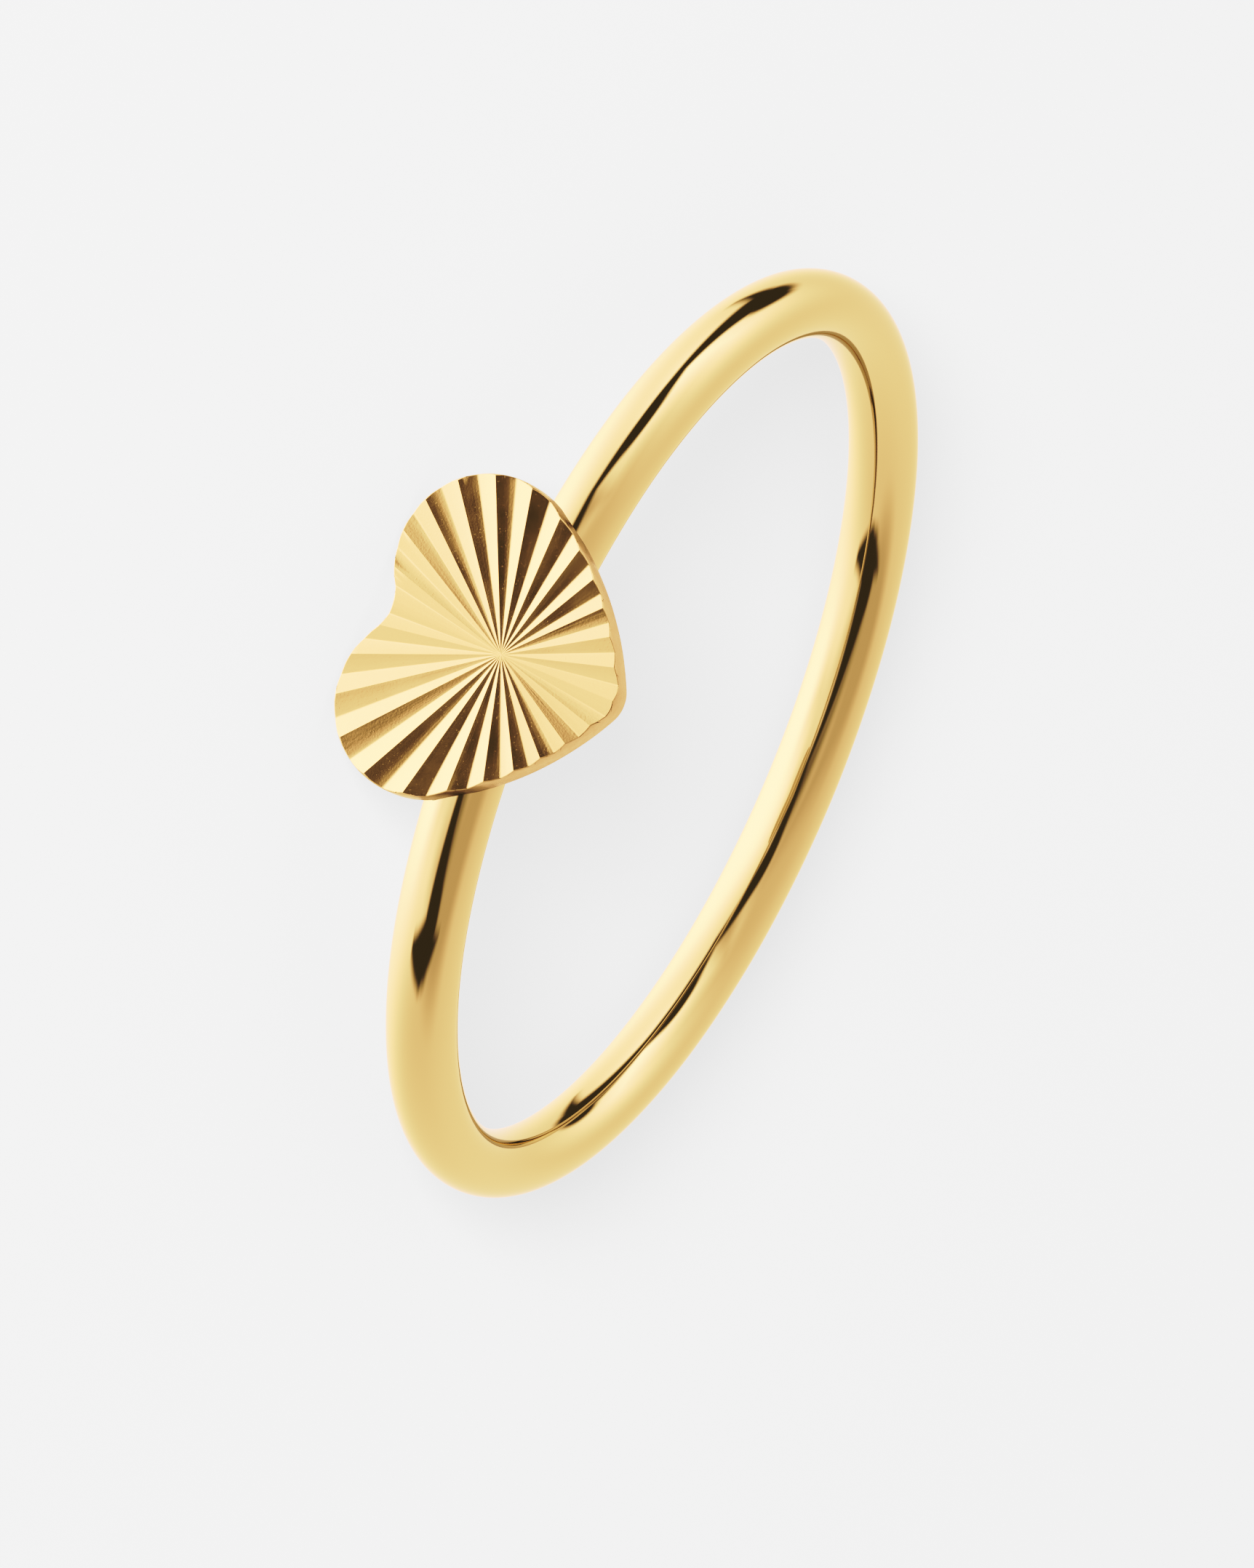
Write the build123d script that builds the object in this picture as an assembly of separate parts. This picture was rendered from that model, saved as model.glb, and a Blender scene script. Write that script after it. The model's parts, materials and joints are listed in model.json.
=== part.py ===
from build123d import *
from math import acos, atan2, cos, degrees, hypot, radians, sin, sqrt, tan
import os

# A thin ring with a flat heart, lying on its side on a level surface.
# Millimetres. +Z is up, the heart faces -Y with its tip up, and the origin is on the
# surface, under the middle of the ring's box.
# The ring is drawn flat first: its axis is Z, and the grooves of the heart meet on the
# line through the ring's centre towards -Y. It is then tilted to where it rests.

# Shank: round wire with a narrow flat ground on the inside
FINGER_D = 17.2
WIRE_D = 1.44
FLAT_DEPTH = 0.05

# Heart plate: outline of tangent arcs, lobes below and tip above
HEART_W = 6.6
HEART_H = 5.5
LOBE_R = 1.83
LOBE_DROP = 1.12
NOTCH_R = 0.9
SIDE_R = 6.5
TIP_R = 0.7
PLATE_T = 0.72
BACK_ROUND = 0.15
FACE_RISE = 0.06

# Cut face: a fan of V-grooves that deepen outwards from one point
GROOVES = 26
WALL_SLOPE = 18.0
FIRST_RIDGE = 6.4
CROWDING = 6.5
CROWDING_LEAN = -71.0
SECOND_CROWDING = 1.3
SECOND_LEAN = 66.0

# Places that follow from the sizes
FINGER_R = FINGER_D / 2
WIRE_R = WIRE_D / 2
WIRE_CENTRE_R = FINGER_R - FLAT_DEPTH + WIRE_R
OUTSIDE_R = WIRE_CENTRE_R + WIRE_R
FACE_Y = OUTSIDE_R + FACE_RISE
BACK_Y = FACE_Y - PLATE_T
EDGE_ROUND = min(BACK_ROUND, PLATE_T / 3, NOTCH_R / 2, TIP_R / 2)
LOBE_X = HEART_W / 2 - LOBE_R
TIP_TOP = HEART_H - LOBE_DROP - LOBE_R
TIP_CENTRE = TIP_TOP - TIP_R
FAN_R = HEART_W / 2 + HEART_H
FAN_FOOT = -PLATE_T - FAN_R

FACE_PLANE = Plane(origin=(0, -FACE_Y, 0), x_dir=(1, 0, 0), z_dir=(0, -1, 0))


def point_on(centre, radius, angle):
    """The point of a circle at an angle in degrees."""
    return (centre[0] + radius * cos(radians(angle)), centre[1] + radius * sin(radians(angle)))


def direction(start, end):
    """The angle in degrees of the line from one point to another."""
    return degrees(atan2(end[1] - start[1], end[0] - start[0]))


def side_centre():
    """Centre of the right side's arc, which touches the lobe and the tip from outside."""
    to_lobe = SIDE_R - LOBE_R
    to_tip = SIDE_R - TIP_R
    gap = hypot(LOBE_X, TIP_CENTRE + LOBE_DROP)
    along = (gap**2 + to_lobe**2 - to_tip**2) / (2 * gap)
    across = sqrt(to_lobe**2 - along**2)
    rise = (TIP_CENTRE + LOBE_DROP) / gap
    run = -LOBE_X / gap
    return (LOBE_X + run * along - rise * across, -LOBE_DROP + rise * along + run * across)


def heart_face():
    """The heart's outline as a flat face: notch, lobe, side and tip, mirrored."""
    lobe = (LOBE_X, -LOBE_DROP)
    tip = (0, TIP_CENTRE)
    side = side_centre()
    notch = (0, -LOBE_DROP - sqrt((LOBE_R + NOTCH_R) ** 2 - LOBE_X**2))
    notch_end = direction(notch, lobe)
    lobe_start = notch_end - 180
    lobe_end = direction(side, lobe)
    side_end = direction(side, tip)
    arcs = [
        (notch, NOTCH_R, 90, notch_end),
        (lobe, LOBE_R, lobe_start, lobe_end),
        (side, SIDE_R, lobe_end, side_end),
        (tip, TIP_R, side_end, 90),
    ]
    half = [CenterArc(centre, radius, start, end - start) for centre, radius, start, end in arcs]
    other_half = [mirror(arc, about=Plane.YZ) for arc in half]
    return make_face(half + other_half)


def ridge_angle(number):
    """Angle of a ridge between two grooves; they lie closer together towards the notch."""
    even = FIRST_RIDGE + 360 * number / GROOVES
    first = CROWDING * sin(radians(even + CROWDING_LEAN))
    second = SECOND_CROWDING * sin(radians(2 * even + SECOND_LEAN))
    return even + first + second


def fan_rim():
    """Points round the fan, ridge and valley in turn, each with its depth in the third place."""
    rim = []
    for number in range(GROOVES):
        ridge = ridge_angle(number)
        half_step = (ridge_angle(number + 1) - ridge) / 2
        depth = FAN_R * sin(radians(half_step)) * tan(radians(WALL_SLOPE))
        rim.append((*point_on((0, 0), FAN_R, ridge), 0))
        rim.append((*point_on((0, 0), FAN_R, ridge + half_step), -depth))
    return rim


def fan_block():
    """A block whose top is the fan of grooves, all of whose walls meet at one point."""
    rim = fan_rim()
    foot = [(x, y, FAN_FOOT) for x, y, depth in rim]
    faces = [Face(Wire.make_polygon(foot))]
    for number in range(len(rim)):
        following = (number + 1) % len(rim)
        wall = [(0, 0, 0), rim[number], rim[following]]
        skirt = [rim[number], rim[following], foot[following], foot[number]]
        faces += [Face(Wire.make_polygon(wall)), Face(Wire.make_polygon(skirt))]
    return Solid(Shell(faces))


def heart_plate():
    """The heart, with its back edge rounded and its face cut."""
    blank = extrude(heart_face(), amount=-PLATE_T)
    back_edges = blank.edges().group_by(Axis.Z)[0]
    blank = fillet(back_edges, EDGE_ROUND)
    return FACE_PLANE * (blank & fan_block())


def shank():
    """The closed wire, with the finger hole cut through it."""
    wire = Torus(WIRE_CENTRE_R, WIRE_R)
    return wire - Cylinder(FINGER_R, WIRE_D)


def rest_tilt():
    """Tilt in degrees at which both lobes and the far side of the wire touch the surface."""
    span = WIRE_CENTRE_R + BACK_Y + EDGE_ROUND
    reach = LOBE_DROP + LOBE_R - EDGE_ROUND
    lift = acos((WIRE_R - EDGE_ROUND) / hypot(span, reach))
    return degrees(lift - atan2(span, reach))


def lying(ring):
    """The ring tilted to where it rests, with the middle of its box over the origin."""
    tilted = Rot(X=-rest_tilt()) * ring
    box = tilted.bounding_box()
    bottom = -WIRE_CENTRE_R * sin(radians(rest_tilt())) - WIRE_R
    return Pos(-box.center().X, -box.center().Y, -bottom) * tilted


os.makedirs("parts", exist_ok=True)
heart_ring = lying(shank() + heart_plate())
export_step(heart_ring, "parts/heart_ring.step")
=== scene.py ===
# %% [markdown]
# # A gold ring with a diamond-cut heart
# The real ring is a thin polished wire with a small flat heart soldered on it. A cutting
# tool has run fine V-shaped grooves over the heart's face, so it throws light in a fan of
# pale and dark rays. Here the ring lies on its side on a pale floor.
# The lesson builds each piece with Blender's own modelling tools, then gives it a
# polished finish, and last sets up the studio that the gold reflects.

# %% Load the measured model
import json
from math import asin, atan2, cos, degrees, hypot, pi, radians, sin, sqrt, tan

import bmesh
import bpy
from mathutils import Matrix, Vector

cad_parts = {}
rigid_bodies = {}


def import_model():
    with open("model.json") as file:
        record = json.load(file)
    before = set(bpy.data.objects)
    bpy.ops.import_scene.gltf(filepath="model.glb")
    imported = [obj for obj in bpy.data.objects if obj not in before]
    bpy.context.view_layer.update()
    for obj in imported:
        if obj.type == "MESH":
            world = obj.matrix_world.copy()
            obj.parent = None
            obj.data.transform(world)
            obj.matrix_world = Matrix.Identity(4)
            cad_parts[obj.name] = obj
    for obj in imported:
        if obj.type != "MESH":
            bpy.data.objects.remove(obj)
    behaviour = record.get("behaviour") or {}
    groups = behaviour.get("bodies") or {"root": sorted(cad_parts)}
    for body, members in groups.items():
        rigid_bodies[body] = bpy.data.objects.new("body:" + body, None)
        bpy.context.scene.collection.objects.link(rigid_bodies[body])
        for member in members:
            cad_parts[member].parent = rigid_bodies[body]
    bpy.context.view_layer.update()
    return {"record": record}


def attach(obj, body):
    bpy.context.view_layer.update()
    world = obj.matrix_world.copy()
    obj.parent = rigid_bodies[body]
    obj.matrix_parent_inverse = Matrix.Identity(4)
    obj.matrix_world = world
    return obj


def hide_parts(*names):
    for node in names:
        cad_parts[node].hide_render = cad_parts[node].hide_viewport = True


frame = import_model()
MM = 0.001

# %% [markdown]
# The ring is drawn flat first, round its own axis, and only then laid on the floor. Where
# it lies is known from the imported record: the finger hole's middle and the lean of its
# axis. Reading them here keeps the pieces exactly where the measured model is.

# %% Where the ring lies
hole = frame["record"]["mounts"][0]
ring_centre = Vector(hole["pos_m"])
ring_axis = Vector(hole["axis"])
lean = atan2(ring_axis.y, ring_axis.z)
print("ring centre", [round(c / MM, 3) for c in ring_centre], "lean", round(degrees(lean), 2))

# %% [markdown]
# A few small helpers keep the modelling cells short. Operators act on whatever is
# selected, so every step starts by choosing exactly the points it needs.

# %% Helpers for selecting
def deselect_all():
    """Leaves edit mode and clears the selection."""
    if bpy.context.object and bpy.context.object.mode != "OBJECT":
        bpy.ops.object.mode_set(mode="OBJECT")
    for thing in bpy.context.view_layer.objects:
        thing.select_set(False)


def make_active(piece):
    """Selects one piece alone."""
    deselect_all()
    piece.select_set(True)
    bpy.context.view_layer.objects.active = piece


def enter_edit(piece, mode="VERT"):
    """Opens a piece in edit mode with nothing selected."""
    make_active(piece)
    bpy.ops.object.mode_set(mode="EDIT")
    bpy.ops.mesh.select_mode(type=mode)
    bpy.ops.mesh.select_all(action="DESELECT")


def select_points(piece, wanted):
    """Selects the points of the open mesh for which wanted(position) is true."""
    mesh = bmesh.from_edit_mesh(piece.data)
    for edge in mesh.edges:
        edge.select = False
    for face in mesh.faces:
        face.select = False
    for point in mesh.verts:
        point.select = wanted(point.co)
    mesh.select_flush(True)
    bmesh.update_edit_mesh(piece.data)


# %% [markdown]
# Every piece is finished in the same way. Modifiers are applied, so the mesh holds the
# final shape. Points that lie on each other are joined, and all faces are turned outwards.
# Last the piece is laid on the floor, and that turn is kept in the mesh too.

# %% Helpers for finishing a piece
JOIN_GAP = 0.0005 * MM
SAME_PLACE = 0.001 * MM


def apply_modifier(piece, kind, **settings):
    """Adds a modifier, sets it up and applies it."""
    make_active(piece)
    modifier = piece.modifiers.new(kind.title(), kind)
    for name, value in settings.items():
        setattr(modifier, name, value)
    bpy.ops.object.modifier_apply(modifier=modifier.name)


def tidy_mesh(piece, gap=JOIN_GAP):
    """Joins points that lie on each other and turns all faces outwards."""
    enter_edit(piece)
    bpy.ops.mesh.select_all(action="SELECT")
    bpy.ops.mesh.remove_doubles(threshold=gap)
    bpy.ops.mesh.normals_make_consistent(inside=False)
    bpy.ops.object.mode_set(mode="OBJECT")


def lay_down(piece):
    """Turns a piece from the ring's own axes to where it lies, and keeps that in its mesh."""
    make_active(piece)
    piece.rotation_euler = (-lean, 0, 0)
    piece.location = ring_centre
    bpy.ops.object.transform_apply(location=True, rotation=True, scale=True)


def report(piece):
    """Prints a piece's size in millimetres and its number of triangles."""
    piece.data.calc_loop_triangles()
    size = [round(side / MM, 3) for side in piece.dimensions]
    print(piece.name, "size", size, "triangles", len(piece.data.loop_triangles))


# %% [markdown]
# ## The wire
# The shank is a round wire bent to a circle and polished like a mirror. A mirror shows
# every flat facet of a coarse mesh, so the wire needs many fine faces. The cross-section
# is drawn once, as a circle whose inner half is pressed in a little, the way a ring is
# eased on the inside for the finger.

# %% Draw the wire's cross-section
WIRE_R = 0.72 * MM
FINGER_R = 8.6 * MM
WIRE_CENTRE_R = 9.27 * MM
WIRE_SIDES = 120

deselect_all()
bpy.ops.mesh.primitive_circle_add(
    vertices=WIRE_SIDES,
    radius=WIRE_R,
    location=(WIRE_CENTRE_R, 0, 0),
    rotation=(radians(90), 0, 0),
)
shank = bpy.context.object
shank.name = "shank"
bpy.ops.object.transform_apply(location=True, rotation=True, scale=True)
enter_edit(shank)
select_points(shank, lambda place: place.x < WIRE_CENTRE_R - SAME_PLACE)
eased = (WIRE_CENTRE_R - FINGER_R) / WIRE_R
bpy.ops.transform.resize(value=(eased, 1, 1), center_override=(WIRE_CENTRE_R, 0, 0))
bpy.ops.object.mode_set(mode="OBJECT")
print("inner half pressed to", round(eased, 3), "of its depth")

# %% [markdown]
# Then the cross-section is spun round the ring's axis. A torus would be quicker to add,
# but its cross-section is always a true circle. The Screw modifier spins any shape, and
# it joins the last step to the first, so no seam is left.

# %% Spin it round the finger
WIRE_STEPS = 640

apply_modifier(
    shank,
    "SCREW",
    angle=2 * pi,
    axis="Z",
    steps=WIRE_STEPS,
    render_steps=WIRE_STEPS,
    use_merge_vertices=True,
    merge_threshold=JOIN_GAP,
)
tidy_mesh(shank)
report(shank)

# %% [markdown]
# A wire that is bent and polished by hand is never a perfect ring. Its reflections sway a
# little, and that sway is what makes the metal look real. A Displace modifier with a soft
# cloud texture moves the surface by a few thousandths of a millimetre.

# %% Give the wire its hand-polished sway
SWAY = 0.006 * MM
SWAY_SIZE = 2.6 * MM


def add_sway(piece, name, depth, size, detail):
    """Moves a piece's surface in and out with a cloud texture."""
    cloud = bpy.data.textures.new(name, "CLOUDS")
    cloud.noise_scale = size
    cloud.noise_depth = detail
    settings = {"texture": cloud, "strength": depth, "mid_level": 0.5, "texture_coords": "LOCAL"}
    apply_modifier(piece, "DISPLACE", **settings)


add_sway(shank, "hand_polish_sway", SWAY, SWAY_SIZE, detail=0)
make_active(shank)
bpy.ops.object.shade_smooth()
lay_down(shank)
report(shank)

# %% [markdown]
# ## The heart
# The heart's outline is drawn with a compass: four arcs that run smoothly into each
# other, for the notch, a lobe, a side and half of the tip. Three centres are plain to
# see. The side's centre is worked out, because its arc has to touch both of its
# neighbours.

# %% The outline's measures
FACE_Y = -10.05 * MM
LOBE_R = 1.83 * MM
LOBE_DROP = 1.12 * MM
LOBE_X = 1.47 * MM
NOTCH_R = 0.9 * MM
SIDE_R = 6.5 * MM
TIP_R = 0.7 * MM
TIP_CENTRE = 1.85 * MM


def compass_points():
    """The centres of the four arcs of the right half, in the heart's own plane."""
    notch = (0, -LOBE_DROP - sqrt((LOBE_R + NOTCH_R) ** 2 - LOBE_X**2))
    lobe = (LOBE_X, -LOBE_DROP)
    tip = (0, TIP_CENTRE)
    to_lobe, to_tip = SIDE_R - LOBE_R, SIDE_R - TIP_R
    rise, run = tip[1] - lobe[1], tip[0] - lobe[0]
    gap = hypot(run, rise)
    along = (gap**2 + to_lobe**2 - to_tip**2) / (2 * gap)
    across = sqrt(to_lobe**2 - along**2)
    side_x = lobe[0] + (run * along - rise * across) / gap
    side_y = lobe[1] + (rise * along + run * across) / gap
    return notch, lobe, (side_x, side_y), tip


def heading(start, end):
    """The angle of the line from one point to another."""
    return atan2(end[1] - start[1], end[0] - start[0])


notch, lobe, side, tip = compass_points()
notch_end = heading(notch, lobe)
lobe_end = heading(side, lobe)
side_end = heading(side, tip)
arcs = [
    (notch, NOTCH_R, notch_end - pi / 2),
    (lobe, LOBE_R, lobe_end - (notch_end - pi)),
    (side, SIDE_R, side_end - lobe_end),
    (tip, TIP_R, pi / 2 - side_end),
]
print("each arc turns by", [round(degrees(turn), 1) for centre, radius, turn in arcs])

# %% [markdown]
# Spinning a single point draws an arc, and a Mirror modifier makes the other half. A
# curve object could do the same, but a mesh can be cut later on. The points lie close
# together, so that the rim looks smooth.

# %% Draw the outline with a compass
OUTLINE_STEP = 0.045 * MM
FEWEST_STEPS = 4
INTO_FACE = (0, 1, 0)

deselect_all()
bpy.ops.mesh.primitive_plane_add(size=MM, location=(0, 0, 0))
heart = bpy.context.object
heart.name = "heart_plate"
enter_edit(heart)
bpy.ops.mesh.select_all(action="SELECT")
bpy.ops.mesh.merge(type="CENTER")
bpy.ops.transform.translate(value=(0, FACE_Y, notch[1] + NOTCH_R))
for centre, radius, turn in arcs:
    steps = max(FEWEST_STEPS, round(abs(turn) * radius / OUTLINE_STEP))
    middle = (centre[0], FACE_Y, centre[1])
    bpy.ops.mesh.spin(steps=steps, angle=turn, center=middle, axis=INTO_FACE)
bpy.ops.object.mode_set(mode="OBJECT")
apply_modifier(heart, "MIRROR", use_axis=(True, False, False), merge_threshold=SAME_PLACE)
print("points on the outline:", len(heart.data.vertices))

# %% [markdown]
# The outline is filled and pushed out to a plate. The side of a stamped and tumbled plate
# isn't straight: it swells a little behind the face. So the face is drawn a touch
# smaller, and the plate is pushed out in four steps, each with its share of the thickness
# and its own width. A bevel rounds the edge at the back, which is comfortable to wear.

# %% Fill the outline and give the plate its thickness
PLATE_T = 0.72 * MM
FACE_INSET = 0.984
BELLY = ((0.08, 1.008), (0.12, 1.005), (0.2, 1.002), (0.6, 0.998))
BACK_ROUND = 0.15 * MM
BACK_SEGMENTS = 8
BACK_Y = FACE_Y + PLATE_T

enter_edit(heart)
bpy.ops.mesh.select_all(action="SELECT")
bpy.ops.mesh.remove_doubles(threshold=SAME_PLACE)
bpy.ops.transform.resize(value=(FACE_INSET, 1, FACE_INSET), center_override=(0, 0, 0))
bpy.ops.mesh.edge_face_add()
for share, grow in BELLY:
    bpy.ops.mesh.extrude_region_move(TRANSFORM_OT_translate={"value": (0, PLATE_T * share, 0)})
    bpy.ops.transform.resize(value=(grow, 1, grow), center_override=(0, 0, 0))
select_points(heart, lambda place: abs(place.y - BACK_Y) < SAME_PLACE)
bpy.ops.mesh.select_mode(type="EDGE")
bpy.ops.mesh.region_to_loop()
bpy.ops.mesh.bevel(offset=BACK_ROUND, segments=BACK_SEGMENTS, profile=0.5, affect="EDGES")
tidy_mesh(heart)
report(heart)

# %% [markdown]
# ## The cut face
# On the real heart a cutting tool ran out from one point again and again, so the grooves
# are narrow and shallow there and wide and deep at the rim. Their ridges stay level and
# every wall slopes about 18 degrees. One way to make this is to draw each groove and cut
# it out of the plate. It is simpler to build the whole fan once, as a wheel whose spokes
# rise and sink, and to keep what the heart and the wheel share. So each groove wall is one
# clean face, as the tool leaves it. Several spokes lie on each wall, because a real tool
# leaves the wall a little hollow, and each wall is hollow by another amount. The last two
# spokes before the valley round it off, as the tip of the tool is never quite sharp.

# %% Spokes of the cutting wheel
GROOVES = 26
WALL_SHARES = (0, 0.3, 0.6, 0.92, 0.97)
WALL_SLOPE = radians(18)
HOLLOW, HOLLOW_SPREAD, HOLLOW_BEAT = 0.038, 0.8, 9
VALLEY_ROUND = 0.06
FIRST_RIDGE = 6.4
CROWDING, CROWDING_LEAN = 6.5, -71.0
SECOND_CROWDING, SECOND_LEAN = 1.3, 66.0
FAN_R = 8.8 * MM


def ridge_angle(number):
    """Angle in degrees of a ridge; the grooves crowd a little towards the notch."""
    even = FIRST_RIDGE + 360 * number / GROOVES
    first = CROWDING * sin(radians(even + CROWDING_LEAN))
    second = SECOND_CROWDING * sin(radians(2 * even + SECOND_LEAN))
    return even + first + second


def spoke_end(angle, depth):
    """A point of the wheel's rim, sunk into the heart by a depth."""
    return Vector((FAN_R * cos(angle), FACE_Y + depth, FAN_R * sin(angle)))


def groove_ends(number):
    """The ends of one groove's spokes: down its first wall and up its second."""
    ridge, following = radians(ridge_angle(number)), radians(ridge_angle(number + 1))
    half = (following - ridge) / 2
    way_up = [2 - share for share in reversed(WALL_SHARES[1:])]
    ends = []
    for step in (*WALL_SHARES, 1, *way_up):
        share = 1 - abs(1 - step)
        wall = number + (step > 1) / 2
        sag = HOLLOW * (1 + HOLLOW_SPREAD * sin(HOLLOW_BEAT * wall)) * 4 * share * (1 - share)
        rounding = max(0, share - 1 + VALLEY_ROUND) ** 2 / (2 * VALLEY_ROUND)
        depth = FAN_R * tan(WALL_SLOPE) * (sin(half * share) + (sag - rounding) * sin(half))
        ends.append(spoke_end(ridge + half * step, depth))
    return ends


ends = [end for number in range(GROOVES) for end in groove_ends(number)]
print("spokes:", len(ends))

# %% [markdown]
# The wheel's rim starts as a flat circle with one point for each spoke. Each point is
# selected by its place and moved to the spoke's end.

# %% Draw the wheel's rim and sink its points
deselect_all()
bpy.ops.mesh.primitive_circle_add(
    vertices=len(ends),
    radius=FAN_R,
    location=(0, FACE_Y, 0),
    rotation=(radians(90), 0, 0),
)
wheel = bpy.context.object
bpy.ops.object.transform_apply(location=True, rotation=True, scale=True)


def way_round(index):
    """How far round the wheel a point of the circle lies, from 0 to a full turn."""
    place = wheel.data.vertices[index].co
    return atan2(place.z, place.x) % (2 * pi)


round_order = sorted(range(len(wheel.data.vertices)), key=way_round)
for index, end in zip(round_order, ends):
    place = wheel.data.vertices[index].co.copy()
    enter_edit(wheel)
    select_points(wheel, lambda other: (other - place).length < SAME_PLACE)
    bpy.ops.transform.translate(value=end - place)
    bpy.ops.object.mode_set(mode="OBJECT")
report(wheel)

# %% [markdown]
# The rim is now copied inwards, ring by ring, each one smaller. Shrinking it towards the
# middle keeps all walls true, because their depth shrinks with it. On the real heart the
# tool's last pass left a tiny ridge where the grooves meet, so the last ring is squeezed
# to a short line instead of a point. Pushing the whole fan back makes it a solid block.

# %% Fill the wheel with rings and make it a block
RING_STEPS = (0.55, 0.9, 0.89, 0.88, 0.86, 0.84, 0.81, 0.77, 0.7, 0.6, 0.5, 0.4, 0.45, 0.4)
HUB = (0, FACE_Y, 0)
HUB_TURN = radians(72)
HUB_SQUEEZE = 0.3
HUB_GAP = 0.0001 * MM
FAN_DEPTH = 9.5 * MM

enter_edit(wheel)
bpy.ops.mesh.select_all(action="SELECT")
for shrink in RING_STEPS:
    bpy.ops.mesh.extrude_edges_move()
    bpy.ops.transform.resize(value=(shrink, shrink, shrink), center_override=HUB)
bpy.ops.transform.rotate(value=HUB_TURN, orient_axis="Y", center_override=HUB)
bpy.ops.transform.resize(value=(1, 0, HUB_SQUEEZE), center_override=HUB)
bpy.ops.transform.rotate(value=-HUB_TURN, orient_axis="Y", center_override=HUB)
bpy.ops.mesh.edge_face_add()
bpy.ops.mesh.select_all(action="SELECT")
bpy.ops.mesh.extrude_region_move(TRANSFORM_OT_translate={"value": (0, FAN_DEPTH, 0)})
tidy_mesh(wheel, gap=HUB_GAP)
report(wheel)

# %% [markdown]
# A Boolean modifier keeps only what the heart and the wheel share. The exact solver is
# slower than the fast one, but it leaves clean edges where thin walls meet. It works on
# many parts at once and hands its points back in another order each time. Sorting them by
# their places gives the same heart on every run. The wheel has then done its work.

# %% Keep what the heart and the wheel share
def put_in_order(piece):
    """Sorts a mesh's points by their places, and its edges and faces by their points."""
    enter_edit(piece)
    mesh = bmesh.from_edit_mesh(piece.data)
    for rank, point in enumerate(sorted(mesh.verts, key=lambda point: tuple(point.co))):
        point.index = rank
    mesh.verts.sort()
    for parts in (mesh.edges, mesh.faces):
        by_points = sorted(parts, key=lambda part: sorted(point.index for point in part.verts))
        for rank, part in enumerate(by_points):
            part.index = rank
        parts.sort()
    bmesh.update_edit_mesh(piece.data)
    bpy.ops.object.mode_set(mode="OBJECT")


apply_modifier(heart, "BOOLEAN", object=wheel, operation="INTERSECT", solver="EXACT")
bpy.data.objects.remove(wheel)
put_in_order(heart)
report(heart)

# %% [markdown]
# The rim of the cut face is as sharp as a knife on the model. On the real heart it was
# touched with a polishing wheel, so it has a hair-thin round edge that catches the light.
# A Bevel modifier rounds only edges with a large angle, which leaves the ridges crisp. A
# little sway over the whole piece takes away the ruler-straight look. Shading is smooth
# over the rounded edges and flat across the ridges, which turn by a larger angle.

# %% Round the rim and let the walls sway a little
SLIVER = 0.003 * MM
RIM_ROUND, RIM_SEGMENTS = 0.014 * MM, 2
RIM_ANGLE = radians(50)
HEART_SWAY = 0.011 * MM
HEART_SWAY_SIZE = 1.3 * MM
CREASE_ANGLE = radians(16)

tidy_mesh(heart, gap=SLIVER)
apply_modifier(
    heart,
    "BEVEL",
    width=RIM_ROUND,
    segments=RIM_SEGMENTS,
    limit_method="ANGLE",
    angle_limit=RIM_ANGLE,
    use_clamp_overlap=False,
)
put_in_order(heart)
add_sway(heart, "tool_sway", HEART_SWAY, HEART_SWAY_SIZE, detail=1)
make_active(heart)
bpy.ops.object.shade_smooth_by_angle(angle=CREASE_ANGLE)
report(heart)

# %% [markdown]
# ## Materials are made of nodes
# A material is a small network. Each node works out one thing, and the last one is the
# Principled shader. These helpers add one node each and link its inputs, so the cells
# further down read like a sum. The first ones work with single numbers.

# %% Helpers for nodes with numbers
def open_tree(owner):
    """Empties the node tree of a material or world and makes it the one to build in."""
    global nodes, links
    owner.use_nodes = True
    nodes, links = owner.node_tree.nodes, owner.node_tree.links
    nodes.clear()


def feed(socket, value):
    """Links another node's output to an input, or writes a constant on it."""
    if isinstance(value, bpy.types.NodeSocket):
        links.new(value, socket)
    else:
        socket.default_value = value


def math_node(kind, *values):
    """A Math node, such as MULTIPLY."""
    node = nodes.new("ShaderNodeMath")
    node.operation = kind
    for socket, value in zip(node.inputs, values):
        feed(socket, value)
    return node.outputs[0]


def length_node(x, y):
    """The distance that two numbers make at a right angle."""
    squares = math_node("MULTIPLY", x, x), math_node("MULTIPLY", y, y)
    return math_node("SQRT", math_node("ADD", *squares))


def range_node(value, low, high, to_low=0.0, to_high=1.0, smooth=True):
    """A Map Range node that turns low..high into to_low..to_high."""
    node = nodes.new("ShaderNodeMapRange")
    node.interpolation_type = "SMOOTHSTEP" if smooth else "LINEAR"
    names = ("Value", "From Min", "From Max", "To Min", "To Max")
    for name, number in zip(names, (value, low, high, to_low, to_high)):
        feed(node.inputs[name], number)
    return node.outputs["Result"]


# %% [markdown]
# A place or a direction is a vector, three numbers in one. Vector nodes take it whole,
# and two more take it apart and put it together.

# %% Helpers for nodes with vectors
def vector_node(kind, first, second=None, scale=None):
    """A Vector Math node that gives a vector."""
    node = nodes.new("ShaderNodeVectorMath")
    node.operation = kind
    feed(node.inputs[0], first)
    if second is not None:
        feed(node.inputs[1], second)
    if scale is not None:
        feed(node.inputs["Scale"], scale)
    return node.outputs["Vector"]


def measure_node(kind, first, second):
    """A Vector Math node that gives a number, such as DISTANCE."""
    node = nodes.new("ShaderNodeVectorMath")
    node.operation = kind
    feed(node.inputs[0], first)
    feed(node.inputs[1], second)
    return node.outputs["Value"]


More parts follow.
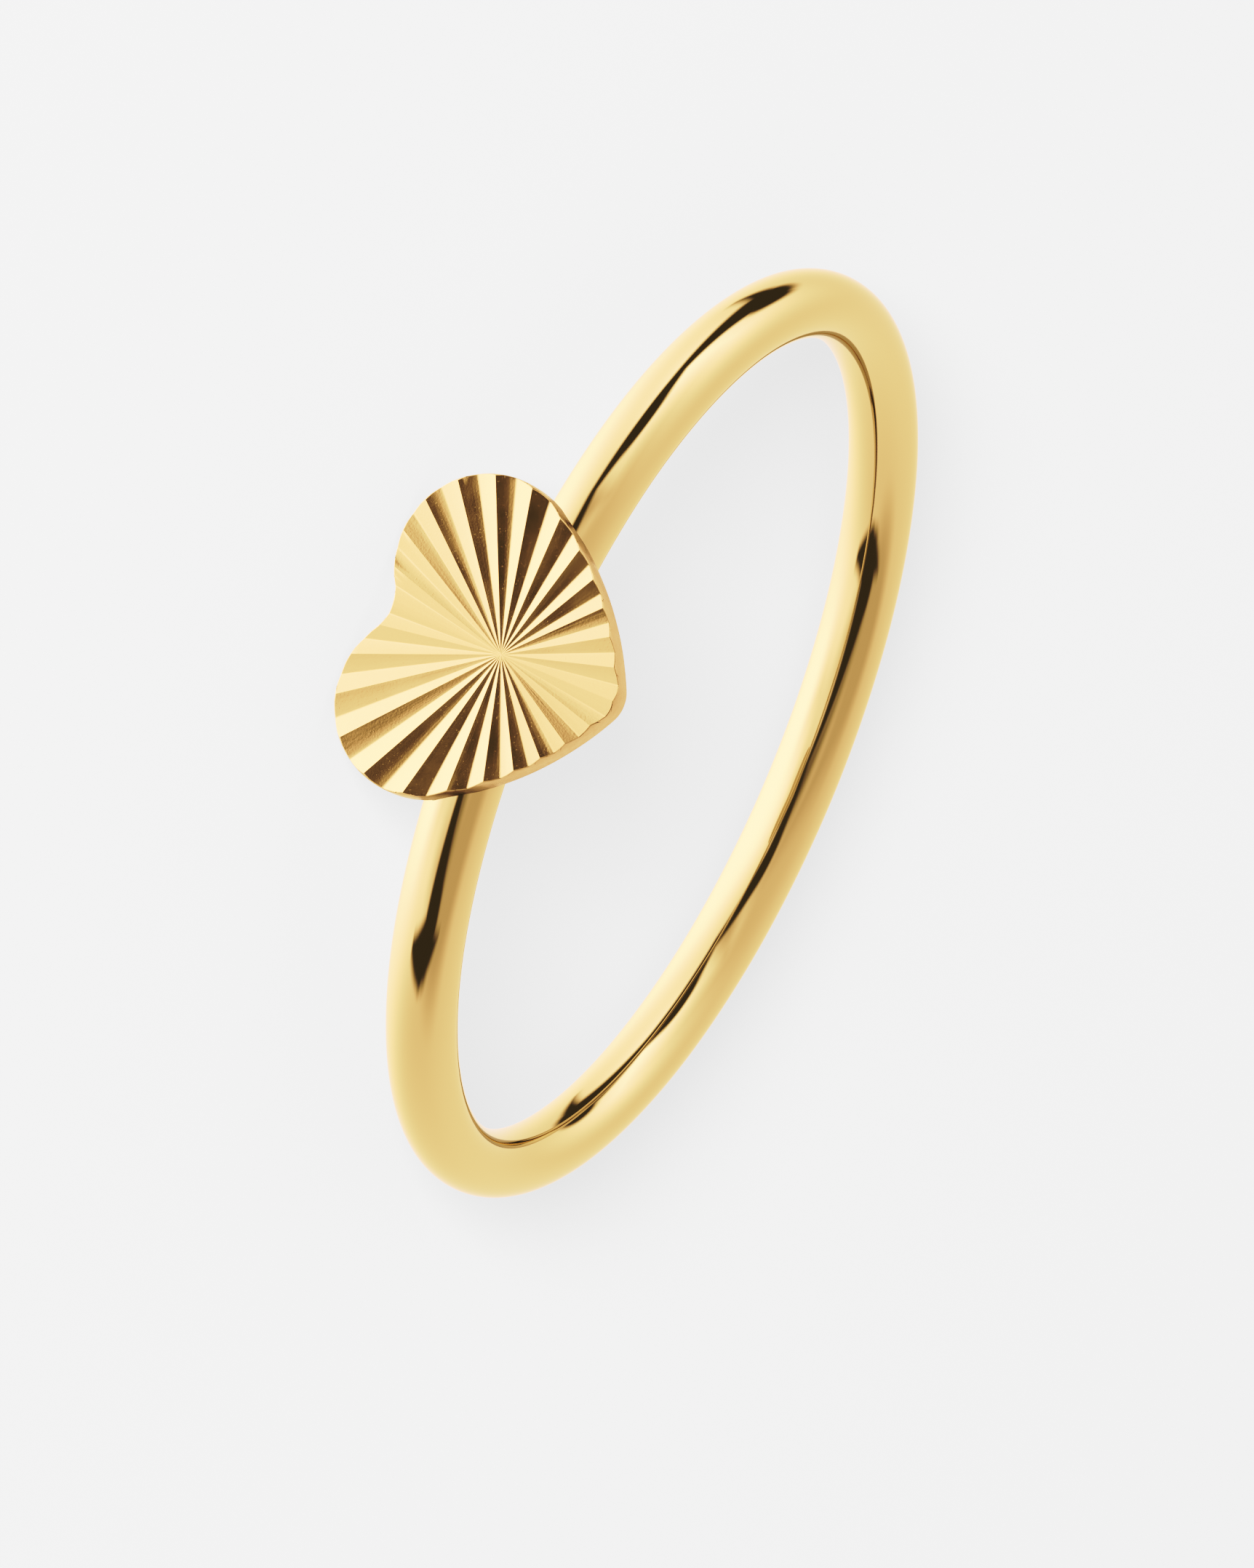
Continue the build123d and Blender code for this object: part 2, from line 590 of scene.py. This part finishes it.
def split_node(vector):
    """The three parts of a vector."""
    node = nodes.new("ShaderNodeSeparateXYZ")
    feed(node.inputs[0], vector)
    return node.outputs


def join_node(x, y, z):
    """A vector made of three parts."""
    node = nodes.new("ShaderNodeCombineXYZ")
    for socket, value in zip(node.inputs, (x, y, z)):
        feed(socket, value)
    return node.outputs[0]


# %% [markdown]
# Noise makes a surface uneven, and a Bump node turns the noise into small hills. All golds
# here are metals with a pale edge tint, and their shine changes a little from place to
# place, so one helper starts a gold and another lets its roughness vary.

# %% Helpers for surfaces
GOLD_EDGE = (1, 0.95, 0.8, 1)
NOISE_MIDDLE = (0.3, 0.7)


def noise_node(place, scale, detail=0.0, extra=None):
    """A Noise texture; extra gives it a fourth direction."""
    node = nodes.new("ShaderNodeTexNoise")
    node.noise_dimensions = "3D" if extra is None else "4D"
    feed(node.inputs["Vector"], place)
    node.inputs["Scale"].default_value = scale
    node.inputs["Detail"].default_value = detail
    if extra is not None:
        feed(node.inputs["W"], extra)
    return node.outputs["Fac"]


def bump_node(height, depth, before=None):
    """Tilts the shading like a surface with hills of a depth in metres."""
    node = nodes.new("ShaderNodeBump")
    node.inputs["Strength"].default_value = 1
    node.inputs["Distance"].default_value = depth
    feed(node.inputs["Height"], height)
    if before is not None:
        feed(node.inputs["Normal"], before)
    return node.outputs["Normal"]


def new_material(name):
    """An empty node material and its Principled shader."""
    material = bpy.data.materials.new(name)
    open_tree(material)
    shader = nodes.new("ShaderNodeBsdfPrincipled")
    output = nodes.new("ShaderNodeOutputMaterial")
    links.new(shader.outputs["BSDF"], output.inputs["Surface"])
    return material, shader


def new_gold(name, colour):
    """A material and its shader, set up as a gold of one colour."""
    material, shader = new_material(name)
    shader.inputs["Base Color"].default_value = colour
    shader.inputs["Specular Tint"].default_value = GOLD_EDGE
    shader.inputs["Metallic"].default_value = 1
    return material, shader


def vary_roughness(shader, noise, roughness):
    """Lets a noise move the roughness between two values."""
    feed(shader.inputs["Roughness"], range_node(noise, *NOISE_MIDDLE, *roughness))


# %% [markdown]
# ## Polished gold
# Polished gold is all reflection: its colour sits in the base colour with Metallic at 1.
# What makes it look real is in the surface. A polishing wheel runs along the wire and
# leaves faint lines that way, so the bump is a noise that is long along the wire and
# short across it. To get it, the shader first turns each point back to the ring's own
# axes.

# %% Where a point is on the ring
def ring_place():
    """A point's place in the ring's own axes."""
    coordinates = nodes.new("ShaderNodeTexCoord").outputs["Object"]
    turned = nodes.new("ShaderNodeVectorRotate")
    turned.rotation_type = "X_AXIS"
    turned.inputs["Angle"].default_value = lean
    feed(turned.inputs["Vector"], vector_node("SUBTRACT", coordinates, ring_centre))
    return turned.outputs[0]


def along_the_wire(place, line_width, line_length):
    """Noise in long lines that follow the wire."""
    x, y, z = split_node(place)
    out = math_node("DIVIDE", length_node(x, y), line_width)
    up = math_node("DIVIDE", z, line_width)
    long_x = math_node("DIVIDE", x, line_length)
    long_y = math_node("DIVIDE", y, line_length)
    return noise_node(join_node(out, up, long_x), 1, 1, long_y)


# %% [markdown]
# Fingers and cloths leave a soft unevenness in the shine, which is a second noise on the
# roughness. A polishing wheel can't reach the corner beside the heart. The wire was worked
# by hand there, so its lines are strongest near the heart and faint on the rest.

# %% Make the polished gold
GOLD = (0.95, 0.74, 0.4, 1)
POLISH_ROUGHNESS = (0.035, 0.07)
SHINE_SIZE = 1.8 * MM
LINE_WIDTH, LINE_LENGTH, LINE_DEPTH = 0.09 * MM, 3.5 * MM, 0.0006 * MM
HEART_PLACE = (0, FACE_Y, 0)
HAND_WORKED = (3.4 * MM, 7.5 * MM)
LINES_NEAR, LINES_FAR = 1.0, 0.15

polished, shader = new_gold("polished_gold", GOLD)
place = ring_place()
vary_roughness(shader, noise_node(place, 1 / SHINE_SIZE, 2), POLISH_ROUGHNESS)
lines = along_the_wire(place, LINE_WIDTH, LINE_LENGTH)
from_heart = measure_node("DISTANCE", place, HEART_PLACE)
strength = range_node(from_heart, *HAND_WORKED, LINES_NEAR, LINES_FAR)
feed(shader.inputs["Normal"], bump_node(math_node("MULTIPLY", lines, strength), LINE_DEPTH))
print("nodes in", polished.name, len(nodes))

# %% [markdown]
# ## Cut gold
# The walls of the grooves were cut, not polished. They are a little rougher, which makes
# the dark ones look milky. The tool drew fine lines outwards from the middle, and tiny
# pits and specks stayed in the metal. So the bump has three layers: lines that fan out,
# a fine grain, and a few pits.

# %% Make the cut gold
CUT_GOLD = (0.95, 0.71, 0.38, 1)
CUT_ROUGHNESS = (0.17, 0.22)
PATCH_SIZE = 0.7 * MM
TOOL_LINES, TOOL_LINE_LENGTH, TOOL_LINE_DEPTH = 34, 1.6 * MM, 0.0012 * MM
GRAIN_SIZE, GRAIN_DEPTH = 0.045 * MM, 0.0009 * MM
PIT_SIZE, PIT_DEPTH = 0.035 * MM, 0.0007 * MM
PIT_EDGE = (0.76, 0.83)

cut, shader = new_gold("cut_gold", CUT_GOLD)
place = ring_place()
vary_roughness(shader, noise_node(place, 1 / PATCH_SIZE, 2), CUT_ROUGHNESS)
x, _, z = split_node(place)
out_x, out_z, _ = split_node(vector_node("NORMALIZE", join_node(x, z, 0)))
fan = join_node(
    math_node("MULTIPLY", out_x, TOOL_LINES),
    math_node("MULTIPLY", out_z, TOOL_LINES),
    math_node("DIVIDE", length_node(x, z), TOOL_LINE_LENGTH),
)
marks = bump_node(noise_node(fan, 1, 1), TOOL_LINE_DEPTH)
grain = bump_node(noise_node(place, 1 / GRAIN_SIZE, 2), GRAIN_DEPTH, marks)
pits = range_node(noise_node(place, 1 / PIT_SIZE), *PIT_EDGE)
feed(shader.inputs["Normal"], bump_node(pits, PIT_DEPTH, grain))
print("nodes in", cut.name, len(nodes))

# %% [markdown]
# The plate's narrow side was sawn out and only tumbled, so it is duller than the wire. It gets a
# satin gold of its own, and its base colour is made darker than the wire's gold as painted shade
# on the side faces.

# %% Make the satin gold of the plate's side, with painted shade
# The darker base colour below is painted shade: the same gold, darkened for the faces that look
# sideways.
SATIN_GOLD_SHADED = (0.76, 0.56, 0.32, 1)
SATIN_ROUGHNESS = (0.26, 0.36)
SATIN_SIZE, SATIN_DEPTH = 0.12 * MM, 0.0015 * MM

satin_shaded, shader = new_gold("satin_gold_shaded", SATIN_GOLD_SHADED)
tumbled = noise_node(ring_place(), 1 / SATIN_SIZE, 2)
vary_roughness(shader, tumbled, SATIN_ROUGHNESS)
feed(shader.inputs["Normal"], bump_node(tumbled, SATIN_DEPTH))
print("nodes in", satin_shaded.name, len(nodes))

# %% [markdown]
# The wire takes the polished gold. The heart has all three, and each of its faces shows by the
# way it faces which one it needs: the groove walls look forwards, the plate's side looks
# sideways and takes the satin gold with its painted shade, and the back and its rounded edge
# look to the finger. Painting the faces by hand would take long, and it would have to be done
# again after each change.

# %% Give the pieces their gold
CUT_SIDE, BACK_SIDE = -0.6, 0.3
CUT_SLOT, SATIN_SHADED_SLOT = 1, 2


def give_gold(slot, wanted):
    """Gives the heart's faces for which wanted(normal) is true the gold of a slot."""
    enter_edit(heart, "FACE")
    mesh = bmesh.from_edit_mesh(heart.data)
    for face in mesh.faces:
        face.select = wanted(face.normal)
    bmesh.update_edit_mesh(heart.data)
    heart.active_material_index = slot
    bpy.ops.object.material_slot_assign()


shank.data.materials.append(polished)
for gold in (polished, cut, satin_shaded):
    heart.data.materials.append(gold)
give_gold(CUT_SLOT, lambda normal: normal.y < CUT_SIDE)
# The sideways faces get the satin gold, whose darker base colour is painted shade.
give_gold(SATIN_SHADED_SLOT, lambda normal: CUT_SIDE <= normal.y < BACK_SIDE)
lay_down(heart)
for piece in (shank, heart):
    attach(piece, "root")
    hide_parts("heart_ring")
    report(piece)

# %% [markdown]
# ## The floor
# The floor is a sheet of pale acrylic lit from below, as on a jeweller's light table. It
# gives most of its light itself, so the ring's shadow on it stays faint, as in the
# photograph. The painted studio further down holds what the gold sees in the floor's
# place, so the floor is hidden from reflections.

# %% Make the floor
FLOOR_SIZE = 4.0
FLOOR_GREY = (0.25, 0.25, 0.25, 1)
WHITE = (1, 1, 1, 1)
FLOOR_OWN_LIGHT = 1.24

deselect_all()
bpy.ops.mesh.primitive_plane_add(size=FLOOR_SIZE, location=(0, 0, 0))
floor = bpy.context.object
floor.name = "floor"
acrylic, shader = new_material("pale_acrylic")
shader.inputs["Base Color"].default_value = FLOOR_GREY
shader.inputs["Roughness"].default_value = 1
shader.inputs["Specular IOR Level"].default_value = 0
shader.inputs["Emission Color"].default_value = WHITE
shader.inputs["Emission Strength"].default_value = FLOOR_OWN_LIGHT
floor.data.materials.append(acrylic)
floor.visible_glossy = False
print("the floor is", FLOOR_SIZE, "m wide")

# %% [markdown]
# ## The camera
# The photograph was taken from far away with a long lens. The camera stands there too.

# %% Place the camera
CAMERA_AT = Vector((6.508, -242.026, 122.991)) * MM
CAMERA_RIGHT = Vector((-0.39800, 0.40388, 0.82370)).normalized()
CAMERA_BACK = Vector((0.01981, -0.89388, 0.44787)).normalized()
CAMERA_UP = CAMERA_BACK.cross(CAMERA_RIGHT).normalized()
LENS, SENSOR = 309.4, 36
NEAREST, FARTHEST = 0.005, 10

camera_data = bpy.data.cameras.new("camera")
camera_data.lens = LENS
camera_data.sensor_width = SENSOR
camera_data.clip_start = NEAREST
camera_data.clip_end = FARTHEST
camera = bpy.data.objects.new("camera", camera_data)
bpy.context.scene.collection.objects.link(camera)
turn = Matrix((CAMERA_RIGHT, CAMERA_UP, CAMERA_BACK)).transposed()
camera.matrix_world = Matrix.Translation(CAMERA_AT) @ turn.to_4x4()
bpy.context.scene.camera = camera
print("the camera is", round(CAMERA_AT.length / MM), "mm away")

# %% [markdown]
# ## The lamp
# One large soft lamp stands beside the camera, a little above and to its left. It is
# there for the floor only: it throws the soft grey shadow at the ring's lower right. A
# large lamp keeps that shadow dark where the wire touches the floor and lets it fade
# where the ring is higher. The gold doesn't see it, because the painted studio holds all
# that the gold sees. Its place is given as the camera sees it: right, up and back to the
# camera.

# %% Set up the lamp
LAMP_SIDE = (-0.13, 0.12, 1)
LAMP_AWAY = 1.0
LAMP_SIZE = 0.3
LAMP_POWER = 60


def from_camera(right, up, back):
    """A direction as seen by the camera, turned into the scene's axes."""
    return (CAMERA_RIGHT * right + CAMERA_UP * up + CAMERA_BACK * back).normalized()


lamp_data = bpy.data.lights.new("soft_lamp", "AREA")
lamp_data.shape = "DISK"
lamp_data.size = LAMP_SIZE
lamp_data.energy = LAMP_POWER
lamp = bpy.data.objects.new("soft_lamp", lamp_data)
bpy.context.scene.collection.objects.link(lamp)
towards_lamp = from_camera(*LAMP_SIDE)
lamp.location = towards_lamp * LAMP_AWAY
lamp.rotation_euler = towards_lamp.to_track_quat("Z", "Y").to_euler()
lamp.visible_glossy = False
print("lamp elevation", round(degrees(asin(towards_lamp.z)), 1))

# %% [markdown]
# ## The studio
# A mirror-like ring shows its surroundings and nothing else. In the photograph large
# white cards stand on the left and behind, a grey card stands at the front right, and a
# long dark flag runs from below the camera over the top to the far side. Building them as
# objects would need many soft-edged planes. It is simpler to paint them on the sky. Each
# one is given by directions as the camera sees them. A strip has two ends, half its width
# at each of them, and the softness of its edge.

# %% Brushes for painting on the sky
world = bpy.data.worlds.new("studio")
bpy.context.scene.world = world
open_tree(world)
world.cycles.sampling_method = "NONE"
sight = nodes.new("ShaderNodeTexCoord").outputs["Generated"]


def blend_node(mask, under, over):
    """Lays one brightness over another where the mask is 1."""
    return math_node("MULTIPLY_ADD", mask, math_node("SUBTRACT", over, under), under)


def strip(start, end, width_start, width_end, softness):
    """A mask for a soft-edged strip on the sky from one direction to another."""
    a, b = from_camera(*start), from_camera(*end)
    step = b - a
    past = measure_node("DOT_PRODUCT", vector_node("SUBTRACT", sight, a), step)
    share = math_node("DIVIDE", past, step.length_squared)
    share.node.use_clamp = True
    along = vector_node("SCALE", step, scale=share)
    nearest = vector_node("NORMALIZE", vector_node("ADD", along, a))
    away = measure_node("DISTANCE", sight, nearest)
    width = math_node("MULTIPLY_ADD", share, width_end - width_start, width_start)
    return range_node(math_node("SUBTRACT", width, away), -softness / 2, softness / 2)


def half_sky(side, edge, softness):
    """A mask for the part of the sky that lies towards one side."""
    towards = measure_node("DOT_PRODUCT", sight, from_camera(*side))
    return range_node(towards, edge - softness / 2, edge + softness / 2)


# %% [markdown]
# The light parts come first, over the even light of the room, which is a little brighter
# behind the ring: a large white card on the left, another at the upper right, a grey card
# at the front right, a narrow grey corner beside it, and a dim patch at the lower left
# where the light falls off. Their soft edges make the long gradients on the wire.

# %% Paint the light cards
ROOM_LIGHT, ROOM_LIGHT_BEHIND = 1.02, 1.47
LEFT_LIGHT, UPPER_RIGHT_LIGHT = 5.5, 4.6
GREY_LIGHT, CORNER_LIGHT, PATCH_LIGHT = 0.72, 0.8, 1.74
BEHIND = ((0, 0, -1), 0.14, 1.8)
LEFT_HALF, UPPER_HALF = ((-0.94, -0.33, -0.11), 0.38, 2.07), ((0.15, 0.95, 0.29), -0.34, 1.42)
UPPER_RIGHT_CARD = ((0.44, 0.89, 0.11), (0.75, 0.65, -0.12), 0.26, 0.03, 1.68)
GREY_CARD = ((0.31, -0.74, 0.6), (-0.05, -0.38, 0.92), 0.54, 0.7, 0.45)
GREY_CORNER = ((0.15, 0.61, 0.78), (0.95, 0.06, 0.31), 0.14, -0.17, 0.23)
DIM_PATCH = ((-0.84, -0.12, 0.53), (-0.39, -0.15, 0.91), 0.33, 0.41, 0.9)

bright = blend_node(half_sky(*BEHIND), ROOM_LIGHT, ROOM_LIGHT_BEHIND)
left_card = math_node("MULTIPLY", half_sky(*LEFT_HALF), half_sky(*UPPER_HALF))
bright = blend_node(left_card, bright, LEFT_LIGHT)
bright = blend_node(strip(*UPPER_RIGHT_CARD), bright, UPPER_RIGHT_LIGHT)
bright = blend_node(strip(*GREY_CARD), bright, GREY_LIGHT)
bright = blend_node(strip(*GREY_CORNER), bright, CORNER_LIGHT)
bright = blend_node(strip(*DIM_PATCH), bright, PATCH_LIGHT)
print("nodes in the studio so far:", len(nodes))

# %% [markdown]
# Then comes the dark flag. It is one long cloth with a bend at the camera, so it is
# painted as a chain of strips that share their ends, and each end has its direction and
# half its width. A soft grey shade goes under it first.

# %% Paint the dark flag
FLAG_LIGHT, SHADE_LIGHT = 0.1, 0.3
SHADE = ((0.05, -0.9, 0.44), (-0.07, -0.06, 1.0), -0.05, 0.22, 0.37)
TOE = ((-0.73, -0.66, 0.19), 0.06)
HEEL = ((-0.34, -0.86, 0.39), 0.2)
FOOT = ((0.22, -0.89, 0.39), 0.01)
SHIN = ((-0.22, -0.84, 0.5), 0.28)
KNEE = ((-0.24, -0.06, 0.97), 0.08)
THIGH = ((0.07, 0.31, 0.95), 0.21)
HIP = ((0.01, 0.77, 0.64), 0.1)
SHOULDER = ((0.29, 0.87, 0.4), 0.23)
OVER = ((0.29, 0.95, 0.09), 0.11)
BACK = ((0.42, 0.77, -0.49), 0.22)
BACK_LEFT = ((0.02, 0.76, -0.65), 0.02)
BACK_RIGHT = ((0.5, 0.73, -0.46), 0.19)
flag_strips = [
    (TOE, HEEL, 0.12),
    (HEEL, FOOT, 0.12),
    (HEEL, SHIN, 0.12),
    (SHIN, KNEE, 0.15),
    (KNEE, THIGH, 0.15),
    (THIGH, HIP, 0.14),
    (HIP, SHOULDER, 0.14),
    (SHOULDER, OVER, 0.13),
    (OVER, BACK, 0.13),
    (BACK_LEFT, BACK_RIGHT, 0.13),
]
bright = blend_node(strip(*SHADE), bright, SHADE_LIGHT)
flag = 0.0
for (start, start_width), (end, end_width), softness in flag_strips:
    flag = math_node("MAXIMUM", strip(start, end, start_width, end_width, softness), flag)
bright = blend_node(flag, bright, FLAG_LIGHT)
print("strips in the flag:", len(flag_strips))

# %% [markdown]
# The cards give a warm light and the flag is a dark olive cloth, so the tint changes with
# the brightness. A soft upper limit keeps all the cards about as bright in the middle.
# Gold seen in gold turns a strong orange and looks like plastic. So light that comes by
# way of two reflections is dimmed and gets back some of the blue that it has lost.

# %% Tint the studio
STUDIO_TINT = (1, 0.78, 0.63)
FLAG_TINT = (1, 0.86, 0.66)
TINT_CHANGE = (0.1, 1.1)
BRIGHTEST, BRIGHTEST_SOFTNESS = 3.6, 1.0
ONE_REFLECTION = 1.5
SECOND_LIGHT = 0.4
SECOND_TINT = (1, 1.28, 2.1)
MIX_INPUTS, MIX_RESULT = ("Factor", 4, 5), 1


def mix_node(share, first, second):
    """A vector that runs from the first to the second as the share goes from 0 to 1."""
    node = nodes.new("ShaderNodeMix")
    node.data_type = "VECTOR"
    for name, value in zip(MIX_INPUTS, (share, first, second)):
        feed(node.inputs[name], value)
    return node.outputs[MIX_RESULT]


path = nodes.new("ShaderNodeLightPath").outputs
bright = math_node("SMOOTH_MIN", bright, BRIGHTEST, BRIGHTEST_SOFTNESS)
tint = mix_node(range_node(bright, *TINT_CHANGE, smooth=False), FLAG_TINT, STUDIO_TINT)
again = math_node("GREATER_THAN", path["Glossy Depth"], ONE_REFLECTION)
bright = math_node("MULTIPLY", bright, range_node(again, 0, 1, 1, SECOND_LIGHT))
tint = mix_node(again, tint, vector_node("MULTIPLY", tint, SECOND_TINT))
print("nodes in the painted studio:", len(nodes))

# %% [markdown]
# Only the gold's reflections see the painted studio. Everything else, above all the
# floor, gets plain even light, as from a large diffuser.

# %% Hang up the studio
DIFFUSER = 0.7

studio = nodes.new("ShaderNodeBackground")
feed(studio.inputs["Color"], vector_node("SCALE", tint, scale=bright))
diffuser = nodes.new("ShaderNodeBackground")
diffuser.inputs["Strength"].default_value = DIFFUSER
diffuser.inputs["Color"].default_value = WHITE
seen = nodes.new("ShaderNodeMixShader")
feed(seen.inputs[0], path["Is Glossy Ray"])
links.new(diffuser.outputs[0], seen.inputs[1])
links.new(studio.outputs[0], seen.inputs[2])
output = nodes.new("ShaderNodeOutputWorld")
links.new(seen.outputs[0], output.inputs["Surface"])
print("nodes in the studio:", len(nodes))

# %% [markdown]
# ## The picture's tones
# A product photographer gives the picture a soft curve: the whites roll off gently, so
# the pale gold keeps its colour, and the darks stay deep. The colour management curve does
# the same here. Light that the gold throws on the floor would draw bright arcs that the
# photograph doesn't have, so reflected caustics are off.

# %% Set the tones
CURVE_TOP = 4.0
TONES = [
    (0.0, 0.0), (0.12, 0.04), (0.2, 0.096), (0.34, 0.22), (0.54, 0.39), (0.66, 0.49),
    (0.85, 0.61), (1.19, 0.745), (1.64, 0.84), (1.96, 0.91), (2.85, 0.98), (4.0, 1.0),
]
ALL_COLOURS = 3

scene = bpy.context.scene
scene.cycles.caustics_reflective = False
scene.cycles.caustics_refractive = False
scene.view_settings.view_transform = "Standard"
scene.view_settings.look = "None"
scene.view_settings.use_curve_mapping = True
curve = scene.view_settings.curve_mapping
curve.white_level = (CURVE_TOP, CURVE_TOP, CURVE_TOP)
line = curve.curves[ALL_COLOURS]
for point, (x, y) in zip(line.points, (TONES[0], TONES[-1])):
    point.location = (x / CURVE_TOP, y)
for x, y in TONES[1:-1]:
    line.points.new(x / CURVE_TOP, y)
curve.update()
print("points on the tone curve:", len(line.points))
